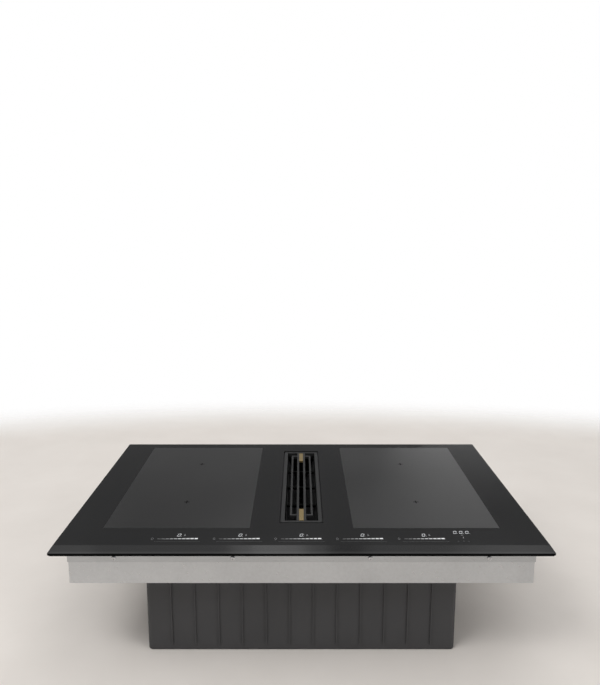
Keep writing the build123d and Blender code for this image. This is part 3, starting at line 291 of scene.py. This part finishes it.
by_slot = {
    "black_glass": "glass", "seal_foam": "foam", "zinc_steel": "steel",
    "carrier_steel": "carrier_steel", "collar_black": "collar",
    "gasket_rubber": "rubber", "grille_black": "grille", "grip_brass": "brass",
    "filter_black": "filter", "filter_mesh": "mesh", "tray_grey": "tray",
    "mica": "mica", "copper": "copper", "ferrite": "ferrite",
    "aluminium_plate": "alu", "board_green": "board", "sensor_white": "white",
    "carrier_plastic": "ivory", "black_plastic": "plastic",
    "capacitor_blue": "cap", "box_plastic": "box", "blower_plastic": "blower",
    "screw_steel": "screw", "motor_metal": "motor", "wire_red": "wire",
    "light_guide": "guide", "spring_steel": "spring",
}
slot_of = {s["node"]: s["material_slot"] for s in frame["record"]["subparts"]}
for name, obj in N.items():
    m = MAT[by_slot[slot_of[name]]]
    if not obj.data.materials:
        obj.data.materials.append(m)
    for i in range(len(obj.data.materials)):
        obj.data.materials[i] = m


# rounded edges on the visible CAD pieces
def bevel(name, width, segments=2, angle=35):
    o = N[name]
    mod = o.modifiers.new("edge", "BEVEL")
    mod.width = width * MM
    mod.segments = segments
    mod.limit_method = "ANGLE"
    mod.angle_limit = math.radians(angle)
    mod.use_clamp_overlap = True
    mod.harden_normals = False


# ---------------------------------------------------------------------------
# small mesh helpers
# ---------------------------------------------------------------------------
def add_mesh(name, verts, faces, mat, body, smooth=False):
    me = bpy.data.meshes.new(name)
    me.from_pydata([tuple(v) for v in verts], [], faces)
    bm = bmesh.new()
    bm.from_mesh(me)
    bmesh.ops.recalc_face_normals(bm, faces=bm.faces)
    bm.to_mesh(me)
    bm.free()
    me.materials.append(mat)
    if smooth:
        for p in me.polygons:
            p.use_smooth = True
    o = bpy.data.objects.new(name, me)
    coll.objects.link(o)
    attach(o, body)
    return o


def prisms(name, loops, z0, z1, mat, body="cooktop_body"):
    """Closed prisms over convex outlines given in millimetres (x, y)."""
    verts, faces = [], []
    for loop in loops:
        k = len(verts)
        n = len(loop)
        verts += [(x * MM, y * MM, z0 * MM) for x, y in loop]
        verts += [(x * MM, y * MM, z1 * MM) for x, y in loop]
        faces.append(tuple(range(k + n - 1, k - 1, -1)))
        faces.append(tuple(range(k + n, k + 2 * n)))
        for i in range(n):
            j = (i + 1) % n
            faces.append((k + i, k + j, k + n + j, k + n + i))
    return add_mesh(name, verts, faces, mat, body)


def rect(x0, y0, x1, y1):
    return [(x0, y0), (x1, y0), (x1, y1), (x0, y1)]


def disc(cx, cy, r, n=20):
    return [(cx + r * math.cos(2 * math.pi * i / n), cy + r * math.sin(2 * math.pi * i / n)) for i in range(n)]


def ring(cx, cy, r0, r1, n=28, a0=0.0, a1=360.0):
    """A ring as short convex quads."""
    out = []
    for i in range(n):
        a = math.radians(a0 + (a1 - a0) * i / n)
        b = math.radians(a0 + (a1 - a0) * (i + 1) / n)
        out.append([
            (cx + r0 * math.cos(a), cy + r0 * math.sin(a)),
            (cx + r1 * math.cos(a), cy + r1 * math.sin(a)),
            (cx + r1 * math.cos(b), cy + r1 * math.sin(b)),
            (cx + r0 * math.cos(b), cy + r0 * math.sin(b)),
        ])
    return out


def oval(cx, cy, rx, ry, w, n=18):
    """An upright oval outline as short convex quads."""
    out = []
    for i in range(n):
        a = 2 * math.pi * i / n
        b = 2 * math.pi * (i + 1) / n
        out.append([
            (cx + (rx - w) * math.cos(a), cy + (ry - w) * math.sin(a)),
            (cx + rx * math.cos(a), cy + ry * math.sin(a)),
            (cx + rx * math.cos(b), cy + ry * math.sin(b)),
            (cx + (rx - w) * math.cos(b), cy + (ry - w) * math.sin(b)),
        ])
    return out


def stroke(x0, y0, x1, y1, w):
    d = Vector((x1 - x0, y1 - y0)).normalized()
    n = Vector((-d.y, d.x)) * w / 2
    return [(x0 - n.x, y0 - n.y), (x1 - n.x, y1 - n.y), (x1 + n.x, y1 + n.y), (x0 + n.x, y0 + n.y)]


TOP = GLASS / MM

# ---------------------------------------------------------------------------
# prints on the glass
# ---------------------------------------------------------------------------
INK = 0.03  # thickness of the print

for side, name in ((-1, "left"), (1, "right")):
    xs = sorted((side * 88.0, side * 336.3))
    z = prisms("zone_print_" + name, [rect(xs[0], -172.6, xs[1], 235.0)], TOP, TOP + INK, MAT["zone"])

# near-black matt skin on the upright edges of the plate: the plate's dark edge painted blacker, as painted shade of
# the gap under it
SKIN = 0.02
prisms("glass_edge_shade_front", [rect(-397.8, -260 - SKIN, 397.8, -260)], 206.15, 208.75, MAT["ground"])
prisms("glass_edge_shade_back", [rect(-397.8, 260, 397.8, 260 + SKIN)], 206.15, 209.85, MAT["ground"])
for side, name in ((-1, "left"), (1, "right")):
    xs = sorted((side * 400.0, side * (400.0 + SKIN)))
    prisms("glass_edge_shade_" + name, [rect(xs[0], -233.0, xs[1], 257.8)], 206.15, 209.85, MAT["ground"])

marks = []
for x in (-212.5, 212.5):
    for y in (-65.8, 130.2):
        marks.append(rect(x - 5.0, y - 1.4, x + 5.0, y + 1.4))
        marks.append(rect(x - 1.3, y - 6.0, x + 1.3, y - 1.4))
        marks.append(rect(x - 1.3, y + 1.4, x + 1.3, y + 6.0))
prisms("zone_marks", marks, TOP + INK, TOP + 2 * INK, MAT["mark"])


def seven(cx, cy, h, w, lit, t=1.15):
    """Seven-segment digit centred on (cx, cy); lit is a string of segments."""
    g = 0.18
    x0, x1 = cx - w / 2, cx + w / 2
    y0, y1 = cy - h / 2, cy + h / 2

    def hbar(y):
        return [(x0 + g + t / 2, y), (x0 + g + t, y - t / 2), (x1 - g - t, y - t / 2),
                (x1 - g - t / 2, y), (x1 - g - t, y + t / 2), (x0 + g + t, y + t / 2)]

    def vbar(x, a, b):
        return [(x, a + g + t / 2), (x + t / 2, a + g + t), (x + t / 2, b - g - t),
                (x, b - g - t / 2), (x - t / 2, b - g - t), (x - t / 2, a + g + t)]

    seg = {
        "a": hbar(y1 - t / 2), "g": hbar(cy), "d": hbar(y0 + t / 2),
        "f": vbar(x0 + t / 2, cy, y1), "b": vbar(x1 - t / 2, cy, y1),
        "e": vbar(x0 + t / 2, y0, cy), "c": vbar(x1 - t / 2, y0, cy),
    }
    # display digits lean by ten degrees
    return [[(x + 0.176 * (y - cy), y) for x, y in seg[s]] for s in lit]


SLIDER_X = (-202.5, -101.2, 0.0, 101.2, 202.5)
lit, dim, faint = [], [], []
LEVELS = [[] for _ in range(10)]
for x in SLIDER_X:
    lit += seven(x, -198.7, 9.6, 5.7, "abcdef", 1.3)
    lit.append(disc(x + 3.7, -203.0, 0.5, 10))
    # rising wedge of ten bars
    for k in range(10):
        a = x - 33.7 + k * 6.75
        b = a + 5.5
        h = 1.2 + 0.26 * k
        h2 = h + 0.2
        LEVELS[k].append([(a, -212.9), (b, -212.9), (b, -212.9 + h2), (a, -212.9 + h)])
    # thin scale line under the wedge
    faint.append(rect(x - 37.5, -221.8, x + 37.5, -221.2))
    # round mark to the left, small lock-like mark to the right of the digit
    dim += oval(x - 42.3, -211.6, 1.7, 3.4, 0.45, 18)
    dim.append(stroke(x + 8.7, -202.0, x + 9.6, -195.2, 0.95))
    dim.append(stroke(x + 9.3, -198.6, x + 11.0, -200.4, 0.85))

for x in (256.6, 266.5, 276.7):
    lit += seven(x, -188.9, 9.6, 5.6, "abcdef", 1.3)
    lit.append(disc(x + 3.9, -193.2, 0.5, 10))
# bar and clock hand under the timer, faint marks below them
dim.append(rect(264.4, -199.5, 268.2, -198.3))
dim.append(stroke(266.9, -205.2, 266.2, -209.8, 1.4))
for x, y in ((255.6, -220.6), (264.2, -220.0), (272.1, -220.9)):
    faint += ring(x, y, 1.0, 1.4, 14)
prisms("display_digits", lit, TOP, TOP + 0.06, MAT["lit"])
prisms("control_icons", dim, TOP, TOP + 0.05, MAT["dim"])
prisms("control_lines", faint, TOP, TOP + 0.04, MAT["faint"])
for k in range(10):
    f = (k / 9.0) ** 0.95
    m = glow_mat("level_light_%02d" % (k + 1), grey(0.16 + 0.46 * f), (0.93, 0.96, 1.0), 0.02 + 0.24 * f)
    prisms("level_bars_%02d" % (k + 1), LEVELS[k], TOP, TOP + 0.06, m)

# ---------------------------------------------------------------------------
# edges of the carried-over CAD pieces
# ---------------------------------------------------------------------------
bevel("glass_top", 0.3, 3, 20)
for n_, w_ in (
    ("grille_frame", 0.55), ("grille_bars", 0.3), ("grille_grip_front", 0.3),
    ("grille_grip_back", 0.3), ("filter_frame", 0.1), ("vent_collar", 0.4),
    ("induction_tray", 0.35), ("glass_carrier_frame", 0.3), ("worktop_clamps", 0.4),
    ("air_box", 0.6), ("air_box_lid", 0.3), ("outlet_spigot", 0.4),
    ("cable_gland", 0.5), ("overflow_tray", 0.6), ("non_return_flap", 0.3),
    ("blower_scroll", 0.4), ("blower_cover", 0.4),
):
    bevel(n_, w_, 2)


# ---------------------------------------------------------------------------
# wire mesh on the filter panels
# ---------------------------------------------------------------------------
def panel_mesh(name, side):
    """Woven wires in the plane of the leaning panel, 0.5 mm thick."""
    a = Vector((side * 26.4, 0, 192.0))
    b = Vector((side * 4.8, 0, 130.4))
    run = (b - a)
    length = run.length
    u = run.normalized()
    nrm = Vector((-side * u.z, 0, side * u.x)) * -1.0
    if nrm.z < 0:
        nrm = -nrm
    y0, y1 = -137.0, 197.8
    r = 0.28
    verts, faces = [], []

    def wire(p, q, side_dir, up_dir):
        k = len(verts)
        for e in (p, q):
            for s, t in ((1, 0), (0, 1), (-1, 0), (0, -1)):
                v = e + side_dir * r * s + up_dir * r * t
                verts.append(v * MM)
        faces.append((k + 3, k + 2, k + 1, k))
        faces.append((k + 4, k + 5, k + 6, k + 7))
        for i in range(4):
            j = (i + 1) % 4
            faces.append((k + i, k + j, k + 4 + j, k + 4 + i))

    lift = nrm * (r + 0.05)
    step = 3.0
    # wires along the slope
    n = int((y1 - y0) / step)
    for i in range(n + 1):
        y = y0 + (y1 - y0) * i / n
        p = a + u * 0.6 + Vector((0, y, 0)) + lift
        q = a + u * (length - 0.6) + Vector((0, y, 0)) + lift
        wire(p, q, Vector((0, 1, 0)), nrm)
    # wires along the length
    m_ = int(length / step)
    for i in range(1, m_):
        c = a + u * (length * i / m_) + nrm * (3 * r + 0.05)
        wire(c + Vector((0, y0, 0)), c + Vector((0, y1, 0)), u, nrm)
    return add_mesh(name, verts, faces, MAT["mesh_wire"], "grease_filter")


MAT["mesh_wire"] = solid_mat("filter_wire", (0.075, 0.075, 0.077), 0.4, metal=0.7, grain=1500)
panel_mesh("filter_wires_left", -1)
panel_mesh("filter_wires_right", 1)


# ---------------------------------------------------------------------------
# screw heads with a star recess
# ---------------------------------------------------------------------------
def screw_head(name, centre, axis, radius, height, body="cooktop_body", slot="screw_steel"):
    """A domed head with a six-lobed recess, standing on its seat."""
    seg = 36
    axis = Vector(axis).normalized()
    ref = Vector((0, 0, 1)) if abs(axis.z) < 0.9 else Vector((1, 0, 0))
    x = axis.cross(ref).normalized()
    y = axis.cross(x)
    c = Vector(centre)
    rings = []
    prof = [(1.0, 0.0), (1.0, 0.35), (0.96, 0.62), (0.84, 0.86), (0.62, 1.0)]
    for pr, pz in prof:
        rings.append([(radius * pr, height * pz)] * seg)
    lobe = []
    for i in range(seg):
        a = 2 * math.pi * i / seg
        lobe.append(radius * (0.40 + 0.055 * math.cos(6 * a)))
    rings.append([(r, height) for r in lobe])
    rings.append([(r * 0.96, height * 0.35) for r in lobe])
    verts, faces = [], []
    for rg in rings:
        for i, (r, h) in enumerate(rg):
            a = 2 * math.pi * i / seg
            verts.append((c + (x * math.cos(a) + y * math.sin(a)) * r + axis * h) * MM)
    for k in range(len(rings) - 1):
        for i in range(seg):
            j = (i + 1) % seg
            faces.append((k * seg + i, k * seg + j, (k + 1) * seg + j, (k + 1) * seg + i))
    faces.append(tuple(range(seg - 1, -1, -1)))
    faces.append(tuple((len(rings) - 1) * seg + i for i in range(seg)))
    return verts, faces


def screws(name, places, radius, height, shank=None, replaces=None, body="cooktop_body"):
    verts, faces = [], []
    for centre, axis in places:
        v, f = screw_head(name, centre, axis, radius, height)
        k = len(verts)
        verts += v
        faces += [tuple(i + k for i in t) for t in f]
        if shank:
            sr, sl = shank
            ax = Vector(axis).normalized()
            ref = Vector((0, 0, 1)) if abs(ax.z) < 0.9 else Vector((1, 0, 0))
            x = ax.cross(ref).normalized()
            y = ax.cross(x)
            k = len(verts)
            seg = 16
            for h in (0.0, -sl):
                for i in range(seg):
                    a = 2 * math.pi * i / seg
                    verts.append((Vector(centre) + (x * math.cos(a) + y * math.sin(a)) * sr + ax * h) * MM)
            faces.append(tuple(k + i for i in range(seg)))
            faces.append(tuple(k + 2 * seg - 1 - i for i in range(seg)))
            for i in range(seg):
                j = (i + 1) % seg
                faces.append((k + i, k + seg + i, k + seg + j, k + j))
    o = add_mesh(name, verts, faces, MAT["screw"], body)
    if replaces:
        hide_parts(replaces)
    return o


places = []
for s_ in (-1, 1):
    for y in (-190, 0, 190):
        places.append(((s_ * 376, y, 193), (s_, 0, 0)))
    for x in (-300, -110, 110, 300):
        places.append(((x, s_ * 244, 193), (0, s_, 0)))
screws("frame_screw_heads", places, 3.6, 2.0, (2.0, 7.0), "frame_screws")
screws("clamp_screw_heads", [((s_ * 376.2, y, 178), (s_, 0, 0)) for s_ in (-1, 1) for y in (-110.0, 160.0)],
       3.6, 2.2, (2.05, 1.8), "clamp_screws")
screws("spigot_screw_heads", [((x, 238, z), (0, 1, 0)) for x in (128 - 115.5, 128 + 115.5) for z in (56 - 34.5, 56 + 34.5)],
       3.2, 1.8, (1.65, 2.0), "spigot_screws")

# ---------------------------------------------------------------------------
# floor, light and camera
# ---------------------------------------------------------------------------
FLOOR_R = 9.0
bm = bmesh.new()
bmesh.ops.create_grid(bm, x_segments=2, y_segments=2, size=FLOOR_R)
me = bpy.data.meshes.new("floor")
bm.to_mesh(me)
bm.free()
floor = bpy.data.objects.new("floor", me)
coll.objects.link(floor)
fm, fnt, fb = new_mat("floor_pale")
vec = coords(fnt)
# the pale floor fades out in a wide oval into the white of the studio
far = fnt.nodes.new("ShaderNodeVectorMath")
far.operation = "LENGTH"
fnt.links.new(coords(fnt, (0.55, 1.0, 1.0)), far.inputs[0])
blend_ = fnt.nodes.new("ShaderNodeMapRange")
blend_.interpolation_type = "SMOOTHSTEP"
blend_.inputs["From Min"].default_value = 1.02
blend_.inputs["From Max"].default_value = 1.45
fnt.links.new(far.outputs["Value"], blend_.inputs["Value"])
soft = noise(fnt, vec, 6.0, 5.0)
near_col = ramp(fnt, soft, [(0.3, (0.80, 0.752, 0.705)), (0.7, (0.84, 0.792, 0.745))])
fnt.links.new(near_col, fb.inputs["Base Color"])
fb.inputs["Roughness"].default_value = 0.9
fb.inputs["Specular IOR Level"].default_value = 0.05
clear = fnt.nodes.new("ShaderNodeBsdfTransparent")
fade = fnt.nodes.new("ShaderNodeMixShader")
fnt.links.new(blend_.outputs["Result"], fade.inputs["Fac"])
fnt.links.new(fb.outputs[0], fade.inputs[1])
fnt.links.new(clear.outputs[0], fade.inputs[2])
fm_out = next(n for n in fnt.nodes if n.type == "OUTPUT_MATERIAL")
fnt.links.new(fade.outputs[0], fm_out.inputs["Surface"])
floor.data.materials.append(fm)

# studio surroundings: white behind, darker high up so that the glass stays black
world = bpy.data.worlds.new("studio")
scene.world = world
world.use_nodes = True
wn = world.node_tree
wn.nodes.clear()
out = wn.nodes.new("ShaderNodeOutputWorld")
bg_cam = wn.nodes.new("ShaderNodeBackground")
bg_cam.inputs["Color"].default_value = (1, 1, 1, 1)
bg_cam.inputs["Strength"].default_value = 1.0
bg_env = wn.nodes.new("ShaderNodeBackground")
tc = wn.nodes.new("ShaderNodeTexCoord")
sep = wn.nodes.new("ShaderNodeSeparateXYZ")
wn.links.new(tc.outputs["Generated"], sep.inputs[0])
rmp = wn.nodes.new("ShaderNodeValToRGB")
cr = rmp.color_ramp
for p, c in ((0.0, 0.50), (0.10, 0.42), (0.22, 0.15), (0.60, 0.12), (0.88, 0.9), (1.0, 1.1)):
    if p == 0.0:
        e = cr.elements[0]
        e.position = p
    elif p == 1.0:
        e = cr.elements[-1]
        e.position = p
    else:
        e = cr.elements.new(p)
    e.color = (c, c, c, 1)
wn.links.new(sep.outputs["Z"], rmp.inputs["Fac"])
wn.links.new(rmp.outputs["Color"], bg_env.inputs["Color"])
bg_env.inputs["Strength"].default_value = 0.9
lp = wn.nodes.new("ShaderNodeLightPath")
mx = wn.nodes.new("ShaderNodeMixShader")
wn.links.new(lp.outputs["Is Camera Ray"], mx.inputs["Fac"])
wn.links.new(bg_env.outputs[0], mx.inputs[1])
wn.links.new(bg_cam.outputs[0], mx.inputs[2])
wn.links.new(mx.outputs[0], out.inputs["Surface"])


def area(name, loc, target, size, size_y, power, colour=(1, 1, 1)):
    l = bpy.data.lights.new(name, "AREA")
    l.shape = "RECTANGLE"
    l.size = size
    l.size_y = size_y
    l.energy = power
    l.color = colour
    o = bpy.data.objects.new(name, l)
    coll.objects.link(o)
    o.location = loc
    d = Vector(target) - Vector(loc)
    o.rotation_euler = d.to_track_quat("-Z", "Y").to_euler()
    return o


area("key", (-1.6, -1.4, 2.6), (0, 0, 0.1), 1.6, 1.6, 42)
area("fill", (2.2, -1.8, 1.8), (0, 0, 0.1), 1.8, 1.8, 20)
area("back", (0.9, 2.0, 3.0), (0, 0, 0.1), 1.8, 1.0, 15)
# dim panels whose reflections lie along the ground front facet
FACET_Z, FACET_H, FACET_GAIN = 1.80, 0.37, 1.00
for k, x_, w_, p_ in (
    ("facet_strip_wide", -0.119, 0.566, 1.80), ("facet_strip_mid", -0.119, 0.433, 2.15),
    ("facet_strip_core", -0.125, 0.311, 2.25), ("facet_panel_left", -0.88, 1.20, 0.95),
    ("facet_end_left", -1.35, 0.30, 0.80), ("facet_panel_right", 0.898, 1.085, 1.06),
    ("facet_end_right", 1.17, 0.54, 0.80), ("facet_tip_right", 1.245, 0.39, 0.50),
):
    area(k, (x_, 2.2, FACET_Z), (0, -0.25, 0.21), w_, FACET_H, p_ * w_ * FACET_H * FACET_GAIN)
# low panels that lighten the back of the printed zones, more on the right
area("low_right", (1.15, 2.4, 0.60), (0.25, 0.1, 0.21), 1.25, 0.34, 3.15)
area("low_left", (-0.35, 2.4, 0.56), (-0.1, 0.1, 0.21), 1.70, 0.32, 0.88)
area("low_side", (-1.85, 1.65, 0.66), (0.1, 0.0, 0.21), 1.9, 0.40, 3.2)
area("margin_right", (1.15, 2.4, 0.92), (0.3, 0.1, 0.21), 0.9, 0.42, 0.24)

cam = bpy.data.cameras.new("camera")
cam.lens = 35.0
cam.sensor_width = 36.0
cam.sensor_fit = "AUTO"
cam.clip_start = 0.01
cam.clip_end = 60
cam_o = bpy.data.objects.new("camera", cam)
coll.objects.link(cam_o)
cam_o.location = (-0.0024, -1.229, 0.210 + 0.511)
cam_o.rotation_euler = (math.radians(90 - 10.25), 0, 0)
scene.camera = cam_o
scene.view_settings.view_transform = "Standard"
scene.view_settings.look = "None"
scene.view_settings.exposure = 0.0

bpy.context.view_layer.update()
